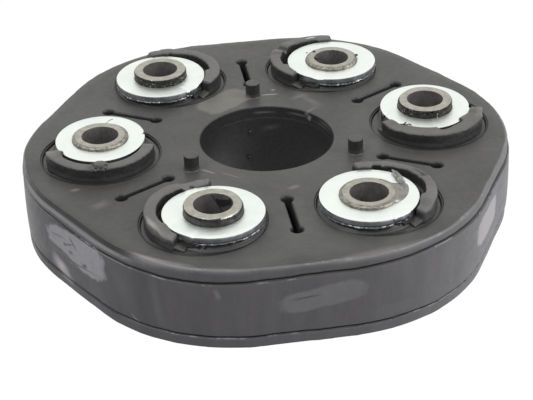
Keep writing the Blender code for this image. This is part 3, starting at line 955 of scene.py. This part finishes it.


# Painted shade in the middle hole, darker on its left side
HOLE_SHADE_TONE = (0.024, 0.023, 0.025)
HOLE_LEFT_SHADE_TONE = (0.011, 0.0105, 0.0115)
# Painted shade on tall and deep inner walls and on sunk slopes
INNER_WALL_SHADE_TONE = (0.022, 0.021, 0.023)
STEP_TONE = (0.048, 0.046, 0.048)
# Painted shade on the seams' lips
LIP_SHADE_TONE = (0.052, 0.050, 0.054)
# Painted highlight along rounded edges
EDGE_HIGHLIGHT_TONE = (0.20, 0.195, 0.20)
# Painted shade over the pinched rim
CREASE_TONE = (0.022, 0.021, 0.022)
GRAIN_TONE = (0.085, 0.083, 0.080)
DUST_TONE = (0.15, 0.145, 0.135)

# Marks, in millimetres and degrees. Each ends with its softness, colour and strength.

# On the side and the hole's wall: direction, the wall's distance, along it, below the upper face,
# half length, half height, tilt
SIDE_MARKS = (
    (210, 77.7, 1.3, 11.2, 15.8, 6, 5, 0.05, (0.38, 0.37, 0.4), 0.95),
    (210, 77.7, -5, 19, 13, 4.2, -10, 0.08, (0.105, 0.1, 0.11), 0.95),
    (210, 77.7, -8.8, 20.2, 7, 3, -18, 0.9, (0.2, 0.19, 0.2), 0.4),
    # The next two marks are a painted highlight: a glossy sheen low on the left flat
    (210, 77.7, -8.4, 21.2, 3, 1.9, -21, 0.8, (0.72, 0.68, 0.7), 0.85),
    (210, 77.7, -5.4, 22.9, 2.8, 1.2, -21, 0.8, (0.5, 0.47, 0.49), 0.8),
    # Painted shade over the lower rim and seam at the left corner
    (197, 79.7, 0, 24.2, 5, 2.2, 0, 0.8, (0.035, 0.034, 0.036), 0.8),
    (231, 80.7, 0, 22.5, 1.4, 0.3, -40, 0.6, (0.34, 0.33, 0.34), 0.7),
    (237, 81.1, 0, 14.5, 1, 6.5, 8, 0.9, (0.2, 0.195, 0.205), 0.5),
    (228, 80.3, 0, 12, 2.2, 5, 20, 0.9, (0.19, 0.185, 0.195), 0.4),
    (250.5, 80.7, 0, 8.5, 0.6, 1.3, 20, 0.8, (0.26, 0.25, 0.26), 0.6),
    (210, 77.7, -8.5, 9.8, 3, 0.3, 9, 0.7, (0.1, 0.096, 0.104), 0.7),
    (210, 77.7, -1.2, 12.8, 0.9, 0.5, 0, 0.6, (0.05, 0.048, 0.052), 0.9),
    (210, 77.7, -4.5, 11.2, 0.6, 0.5, 0, 0.6, (0.06, 0.058, 0.062), 0.9),
    (210, 77.7, 0.5, 8.8, 2.1, 0.35, -38, 0.5, (0.05, 0.048, 0.052), 0.9),
    (210, 77.7, -2, 10.3, 2.2, 0.3, 24, 0.5, (0.05, 0.048, 0.052), 0.8),
    (210, 77.7, 6.5, 14, 1.2, 0.6, 20, 0.6, (0.05, 0.048, 0.052), 0.9),
    (210, 77.7, -1.5, 16, 14, 0.3, 7, 0.5, (0.09, 0.085, 0.092), 0.7),
    (270, 77.7, 4.2, 12, 12.8, 3.6, 9, 0.1, (0.185, 0.18, 0.19), 0.9),
    (270, 77.7, -1, 11.6, 3.5, 0.3, 6, 0.6, (0.05, 0.048, 0.052), 0.7),
    (289, 80.5, -0.5, 20.3, 6.8, 1.8, 2, 0.15, (0.13, 0.125, 0.135), 0.7),
    (330, 77.7, -9, 12, 10.8, 4.8, 0, 0.07, (0.36, 0.345, 0.36), 0.95),
    (40, 22.2, 0, 2, 0.6, 0.9, 20, 0.6, (0.34, 0.29, 0.24), 0.8),
    (43, 22.2, 0, 0.7, 0.7, 0.5, -30, 0.6, (0.26, 0.22, 0.18), 0.8),
    (84, 22.2, 0, 2.2, 2.4, 0.3, 0, 0.9, (0.2, 0.197, 0.19), 0.7),
    (52, 22.2, 0, 2, 2.6, 0.3, 0, 0.9, (0.2, 0.197, 0.19), 0.7),
    (17, 22.2, 0, 1.2, 3, 0.3, 0, 0.9, (0.2, 0.197, 0.19), 0.7),
    (22, 22.2, 0, 2.6, 3.4, 0.3, 0, 0.9, (0.14, 0.137, 0.13), 0.6),
    (78, 22.2, 0, 8, 2, 0.7, -12, 0.9, (0.1, 0.097, 0.1), 0.7),
)

# On the upper face: x, y, turn, half length, half width. The first four are painted highlights, the first
# three on its rim and the fourth near its front right edge
TOP_MARKS = (
    (-46.905, -64.56, 324, 4.4, 0.9, 0.8, (0.38, 0.365, 0.355), 0.8),
    (-38.688, -69.795, 331, 4.4, 0.9, 0.8, (0.24, 0.235, 0.23), 0.6),
    (-21.996, -76.709, 344, 6, 0.9, 0.8, (0.22, 0.215, 0.215), 0.6),
    (21.5, -75.3, 11, 14, 1.2, 0.9, (0.2, 0.195, 0.19), 0.6),
    (-10.5, 29, 36, 10, 5.6, 0.1, (0.148, 0.145, 0.12), 0.85),
    (5.6, 30.7, -4, 2.8, 0.3, 0.4, (0.35, 0.34, 0.31), 0.8),
    (7.6, 33.9, 0, 0.6, 0.4, 0.5, (0.35, 0.34, 0.31), 0.8),
    (16, 27.2, 20, 2.6, 0.8, 0.7, (0.16, 0.155, 0.14), 0.55),
    (18.6, 24, -62, 4.6, 1, 0.8, (0.15, 0.145, 0.13), 0.5),
    (-22, -18.6, -40, 2.1, 0.3, 0.5, (0.26, 0.25, 0.23), 0.8),
    (-15, -22.7, -39, 3.4, 0.2, 0.5, (0.2, 0.19, 0.18), 0.6),
    (3.3, -33.9, 20, 1.4, 0.7, 0.8, (0.2, 0.19, 0.18), 0.6),
    (-64.7, -21.6, 15, 1.1, 0.6, 0.8, (0.2, 0.19, 0.18), 0.7),
    (-57.5, -32.4, 30, 2, 1.2, 1, (0.17, 0.165, 0.155), 0.5),
)

# On the upper collars: bushing, angle, radius about the sleeve, half length, half width, half height
COLLAR_SCUFFS = (
    (1, 45, 19.8, 4.8, 0.8, 1.6, 0.8, (0.34, 0.33, 0.3), 0.75),
    (1, 63, 19.4, 4.2, 1.6, 1.6, 0.8, (0.17, 0.165, 0.155), 0.7),
    (1, 68, 21.5, 7, 2.2, 5, 0.8, (0.115, 0.112, 0.112), 0.7),
    (2, -46, 20, 6, 1.6, 1.6, 0.8, (0.15, 0.145, 0.14), 0.6),
    (2, -62, 21, 7, 2.6, 5, 0.8, (0.115, 0.112, 0.112), 0.7),
    (2, 1, 20.3, 2.6, 0.4, 1.6, 0.6, (0.012, 0.012, 0.012), 0.9),
    (2, -5, 20.8, 0.7, 0.9, 1.6, 0.7, (0.012, 0.012, 0.012), 0.8),
    (4, -43, 18.9, 1.6, 0.3, 1.6, 0.4, (0.7, 0.7, 0.68), 0.9),
    (6, 0, 20.6, 3.2, 2.6, 1.6, 0.6, (0.03, 0.03, 0.03), 0.7),
    (6, -62, 19, 4, 1.4, 1.6, 0.8, (0.17, 0.165, 0.155), 0.6),
    (3, 62, 19, 4, 1, 1.6, 0.8, (0.2, 0.195, 0.18), 0.6),
)


def rubber_marks():
    """(centre, turn, tilt, half size, softness, colour, strength) of each mark on the body."""
    found = []
    for direction, wall, along, below, half_length, half_height, tilt, *look in SIDE_MARKS:
        centre = (polar(wall, direction) + polar(along, direction + 90.0, -below)) * MM
        centre.z += HALF_THICKNESS
        found.append((centre, direction + 90.0, tilt, (half_length * MM, 0.004, half_height * MM), *look))
    for x, y, turn, half_length, half_width, *look in TOP_MARKS:
        centre = (x * MM, y * MM, HALF_THICKNESS)
        found.append((centre, turn, 0.0, (half_length * MM, half_width * MM, 0.0015), *look))
    return found


def collar_marks():
    """The marks on the collars' tops, in the same form."""
    places = dict(bushings())
    found = []
    for number, degrees, radius, half_length, half_width, half_height, *look in COLLAR_SCUFFS:
        place = on_face(places[number], "upper")
        turn = math.degrees(place.to_euler().z) + degrees + 90.0
        half_size = Vector((half_length, half_width, half_height)) * MM
        found.append((place @ polar(radius * MM, degrees, COLLAR_HEIGHT), turn, 0.0, half_size, *look))
    return found


def rubber_material(name, top_tones, side_tones, marks):
    material, shader, place = start_material(name)
    broad = noise_value(place, 55.0, 4.0, 0.6)
    grain = noise_value(place, 1100.0, 3.0, 0.6)
    dust = noise_value(place, 420.0, 6.0, 0.75)
    streaky = combine_vectors("MULTIPLY", place, (1.0, 1.0, 0.25))
    streak = noise_value(streaky, 160.0, 5.0, 0.65)
    normal = add_node(shader.id_data, "ShaderNodeNewGeometry").outputs["Normal"]
    steep = combine("ABSOLUTE", axes_of(normal)["Z"])
    facing_up = remap(steep, 0.35, 0.85)
    axes = axes_of(place)
    over = combine("SUBTRACT", axes["Z"], HALF_THICKNESS)
    reach = combine_vectors("LENGTH", combine_vectors("MULTIPLY", place, (1.0, 1.0, 0.0)), output="Value")
    outside = remap(reach, 0.0750, 0.0754)

    # Faces, side, steps, slot edges and hole. The side tones are painted light and shade by facing
    # direction; the tall and deep walls, sunk slopes and hole are painted dark as painted shade
    top = blend(remap(broad, 0.3, 0.7), *top_tones)
    side = blend(remap(streak, 0.3, 0.7), *side_tones)
    stepped = combine("MAXIMUM", remap(over, 0.0012, 0.0016), remap(over, -0.0015, -0.0010, 1.0, 0.0))
    # Walls more than about 1.5 mm above or below the face take the inner wall tone: painted shade
    inner = blend(stepped, STEP_TONE, INNER_WALL_SHADE_TONE)
    colour = blend(facing_up, blend(outside, inner, side), top)
    within = remap(outside, 0.0, 1.0, 1.0, 0.0)
    # Slopes and walls below the face are darkened towards the inner wall tone: painted shade in the recesses
    # and slots
    rounded = times(remap(steep, 0.86, 0.98, 0.7, 0.0), remap(over, 0.0, 0.0002, 1.0, 0.0), within)
    colour = blend(rounded, colour, INNER_WALL_SHADE_TONE)
    # The middle hole's wall is painted dark, darker on its left: painted shade
    hole = blend(remap(axes["X"], -0.020, 0.004), HOLE_LEFT_SHADE_TONE, HOLE_SHADE_TONE)
    colour = blend(remap(reach, HOLE_RADIUS + 0.0002, HOLE_RADIUS + 0.0006, 1.0, 0.0), colour, hole)

    # Grain, dust and marks
    colour = blend(remap(grain, 0.35, 0.75, 0.0, 0.25), colour, GRAIN_TONE)
    colour = blend(times(remap(dust, 0.61, 0.76, 0.0, 0.5), facing_up), colour, DUST_TONE)
    ragged = remap(noise_value(place, 330.0, 4.0, 0.6), 0.0, 1.0, -0.22, 0.22)
    blotchy = remap(dust, 0.35, 0.6, 0.72, 1.0)
    for *mark, tone, strength in marks:
        colour = blend(times(mark_mask(place, ragged, *mark), blotchy, strength), colour, tone)

    # Painted shade on the seams' lips, painted highlights along the rounded edges, and painted shade over
    # the pinched rim
    turned = times(remap(steep, 0.40, 0.60), remap(steep, 0.78, 0.94, 1.0, 0.0), outside)
    on_crown = remap(over, -0.0022, -0.0018)
    below_seam = remap(over, -0.0050, -0.0047, 1.0, 0.0)
    # The sloped lips at the seams and the side's lower slopes are darkened: painted shade
    colour = blend(times(turned, remap(on_crown, 0.0, 1.0, 0.8, 0.0)), colour, LIP_SHADE_TONE)
    broken = remap(noise_value(place, 240.0, 3.0, 0.6), 0.53, 0.61)
    # A light tone on the rounded edges, broken along the seams and steadier on the crown: a painted
    # highlight
    painted_edge_highlight = times(turned, combine("MAXIMUM", broken, times(on_crown, 0.55)))
    towards = combine_vectors("DOT_PRODUCT", place, polar(1.0, PINCH_DIRECTION, 0.0), "Value")
    pinched = remap(combine("DIVIDE", towards, reach), 0.89, 0.95)
    shaded = times(pinched, outside, on_crown, remap(steep, 0.95, 0.99, 0.8, 0.0))
    colour = blend(shaded, colour, CREASE_TONE)
    # On the pinched rim the crown and the lip below the seam take painted shade, the bead between them a
    # painted highlight
    tone = blend(times(pinched, combine("MAXIMUM", on_crown, below_seam)), EDGE_HIGHLIGHT_TONE, CREASE_TONE)
    colour = blend(combine("MAXIMUM", painted_edge_highlight, times(turned, pinched, 0.9)), colour, tone)
    relief = combine("ADD", times(grain, 0.35), broad)
    connect(shader, {"Base Color": colour, "Roughness": remap(dust, 0.3, 0.7, 0.36, 0.54),
                     "Normal": bump(relief, 0.35, 0.0004)})
    return material


def zinc_material():
    material, shader, place = start_material("zinc_plate", 1.0)
    fine = noise_value(place, 900.0, 5.0, 0.7)
    cloud = remap(noise_value(place, 140.0, 4.0, 0.6), 0.35, 0.65)
    colour = blend(cloud, (0.83, 0.88, 0.84), (0.90, 0.93, 0.88))
    colour = blend(remap(fine, 0.66, 0.78, 0.0, 0.4), colour, (0.60, 0.58, 0.52))
    connect(shader, {"Base Color": colour, "Roughness": remap(fine, 0.3, 0.7, 0.40, 0.52),
                     "Normal": bump(fine, 0.2, 0.0001)})
    return material


def edge_material():
    """The washers' punched edges: a dim sheared band over torn metal, painted near black as painted shade
    and spotted white as painted glints.
    """
    material, shader, place = start_material("zinc_edge", 1.0)
    height = combine("SUBTRACT", combine("ABSOLUTE", axes_of(place)["Z"]), HALF_THICKNESS + WASHER_SEAT)
    torn = remap(noise_value(place, 1500.0, 4.0, 0.7), 0.53, 0.64)
    patchy = remap(noise_value(place, 300.0, 2.0, 0.5), 0.52, 0.59)
    # White spots on the torn metal: painted glints
    bright = times(remap(height, 0.0005, 0.0007), remap(height, 0.0009, 0.0012, 1.0, 0.0), torn, patchy)
    streak = remap(noise_value(place, 420.0, 3.0, 0.6), 0.35, 0.65)
    colour = blend(streak, (0.46, 0.48, 0.51), (0.74, 0.76, 0.80))
    # The lower part of the edge is painted near black: painted shade along the washer's foot
    colour = blend(remap(height, 0.0010, 0.0014, 0.10, 1.0), (0.06, 0.06, 0.065), colour)
    connect(shader, {"Base Color": blend(bright, colour, (1.0, 1.0, 1.0)), "Roughness": 0.35})
    return material


# Steels: dark and light tone, scale of the cloud, least and greatest roughness, relief, share of glints
STEELS = {
    "turned_steel": ((0.34, 0.325, 0.275), (0.50, 0.485, 0.425), 500.0, 0.3, 0.45, 0.2, 0.0),
    "smooth_side_steel": ((0.03, 0.029, 0.030), (0.095, 0.092, 0.094), 500.0, 0.3, 0.5, 0.4, 0.0),
    "dark_side_steel": ((0.012, 0.011, 0.011), (0.075, 0.072, 0.070), 900.0, 0.35, 0.6, 0.9, 0.9),
    "scuffed_steel": ((0.10, 0.095, 0.084), (0.44, 0.42, 0.37), 800.0, 0.3, 0.5, 0.8, 0.0),
    "scraped_steel": ((0.22, 0.21, 0.19), (0.33, 0.32, 0.285), 500.0, 0.25, 0.4, 0.4, 0.0),
    "curl_steel": ((0.10, 0.098, 0.095), (0.42, 0.41, 0.40), 600.0, 0.25, 0.4, 0.6, 0.0),
    "bore_steel": ((0.26, 0.25, 0.25), (0.40, 0.39, 0.38), 250.0, 0.5, 0.7, 0.3, 0.0),
}
SLEEVE_WALLS = {1: "smooth_side", 2: "scuffed", 3: "dark_side", 4: "scuffed", 5: "dark_side", 6: "scuffed"}


def steel_material(name):
    dark, light, scale, rough_low, rough_high, relief, sparkle = STEELS[name]
    material, shader, place = start_material(name, 1.0)
    cloud = noise_value(place, scale, 5.0, 0.65)
    fine = noise_value(place, scale * 6.0, 4.0, 0.7)
    mixed = combine("ADD", times(cloud, 0.6), times(fine, 0.4))
    glint = remap(noise_value(place, 2100.0, 2.0, 0.5), 0.65, 0.73, 0.0, sparkle)
    colour = blend(glint, blend(remap(mixed, 0.38, 0.62), dark, light), (0.95, 0.95, 0.95))
    connect(shader, {"Base Color": colour, "Roughness": remap(fine, 0.3, 0.7, rough_low, rough_high),
                     "Normal": bump(mixed, relief, 0.0002)})
    return material


def cord_material():
    """Wound polyester cord: fine threads across the pack's height."""
    material, shader, place = start_material("wound_cord")
    inputs = {"Vector": place, "Scale": 620.0, "Distortion": 2.0}
    threads = add_node(place.id_data, "ShaderNodeTexWave", inputs, bands_direction="Z").outputs["Fac"]
    connect(shader, {"Base Color": blend(threads, (0.30, 0.26, 0.19), (0.60, 0.55, 0.44)), "Roughness": 0.85,
                     "Normal": bump(threads, 0.6, 0.0003)})
    return material


# Camera and light

# Where the surroundings are dim, and how bright they are there
DIM_DIRECTION = Vector((-0.62, -0.62, -0.48))
FRONT_BRIGHTNESS = 0.26

# Lamps as (name, place, size, watts)
LAMPS = (
    ("left_lamp", (-0.52, -0.30, 0.77), 0.16, 2.4),
    ("right_lamp", (0.75, -0.30, 0.62), 0.16, 2.6),
)


def build_camera():
    data = bpy.data.cameras.new("camera")
    data.lens = CAMERA_LENS
    data.sensor_width = 36.0
    data.clip_start = 0.01
    camera = new_object("camera", data)
    turn = Matrix.Rotation(CAMERA_AZIMUTH, 4, "Z") @ Matrix.Rotation(math.pi / 2 - CAMERA_ELEVATION, 4, "X")
    turn = turn @ Matrix.Rotation(CAMERA_ROLL, 4, "Z") @ Matrix.Translation((0.0, 0.0, CAMERA_DISTANCE))
    camera.matrix_world = Matrix.Translation(CAMERA_TARGET) @ turn
    bpy.context.scene.camera = camera


def build_world():
    """White all round, dim only in front and below, where the washers' edges look."""
    scene = bpy.context.scene
    scene.view_settings.view_transform = "Standard"
    scene.world = bpy.data.worlds.new("soft_white")
    scene.world.use_nodes = True
    tree = scene.world.node_tree
    direction = add_node(tree, "ShaderNodeTexCoord").outputs["Generated"]
    towards = combine_vectors("DOT_PRODUCT", direction, DIM_DIRECTION.normalized(), "Value")
    strength = remap(towards, 0.0, 0.65, 1.02, FRONT_BRIGHTNESS)
    connect(tree.nodes["Background"], {"Strength": strength, "Color": (1.0, 1.0, 1.0, 1.0)})


def build_lamps():
    for name, spot, size, power in LAMPS:
        data = bpy.data.lights.new(name, "AREA")
        data.size = size
        data.energy = power
        lamp = new_object(name, data)
        lamp.location = spot
        lamp.rotation_euler = (-Vector(spot)).to_track_quat("-Z", "Y").to_euler()


def main():
    # The body's side tones are lighter than its top tones, painted light that makes up for the dim light
    # from the front; the collar rubber's side tones are darker, painted shade
    body_rubber = rubber_material("moulded_rubber", ((0.035, 0.034, 0.032), (0.061, 0.060, 0.056)),
                                  ((0.104, 0.100, 0.110), (0.138, 0.132, 0.145)), rubber_marks())
    collar_rubber = rubber_material("collar_rubber", ((0.080, 0.078, 0.072), (0.118, 0.115, 0.108)),
                                    ((0.020, 0.019, 0.021), (0.044, 0.042, 0.046)), collar_marks())
    # These tones also colour the painted shadow in the grooves and in bore 1
    torn_and_shadow_tones = ((0.010, 0.010, 0.011), (0.026, 0.025, 0.026))
    black_rubber = rubber_material("torn_rubber_and_shadow", torn_and_shadow_tones, torn_and_shadow_tones, ())
    steels = {name: steel_material(name) for name in STEELS}
    build_camera()
    build_body(body_rubber)
    build_collars(collar_rubber)
    build_washers(zinc_material(), edge_material())
    build_details(collar_rubber, black_rubber, steels["curl_steel"], steels["scraped_steel"])
    walls = {number: steels[f"{kind}_steel"] for number, kind in SLEEVE_WALLS.items()}
    build_sleeves(steels["turned_steel"], walls, steels["bore_steel"])
    cord = cord_material()
    for name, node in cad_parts.items():
        if "cord" in name:
            node.data.materials.clear()
            node.data.materials.append(cord)
    build_world()
    build_lamps()


main()
